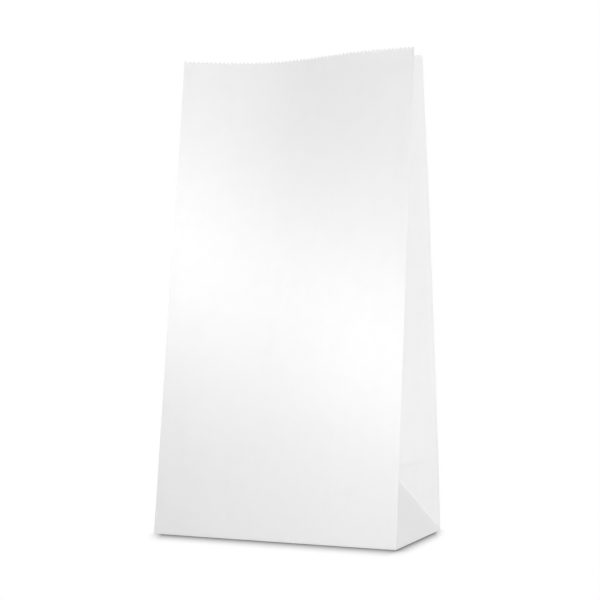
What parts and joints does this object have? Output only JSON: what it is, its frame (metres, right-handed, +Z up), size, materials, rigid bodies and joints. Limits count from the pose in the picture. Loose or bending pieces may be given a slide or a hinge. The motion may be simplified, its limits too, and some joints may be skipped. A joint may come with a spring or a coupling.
{
  "type": "paper favor bag",
  "caption": "Plain white paper favor bag with V-folded side gussets, a flat glued base and a pinked open mouth.",
  "frame": {"origin": "centre of the underside of the base, on the plane the bag stands on", "axes": "+Z up through the mouth, -Y the front panel, +Y the rear panel with the glued seam, -X and +X the gusseted sides"},
  "size_m": [0.1284, 0.0763, 0.2429],
  "materials": {
    "white_paper": "smooth bright white uncoated paper, matte with a faint machine-glazed sheen"
  },
  "bodies": {
    "root": {"paper_bag": "white_paper"}
  },
  "joints": []
}
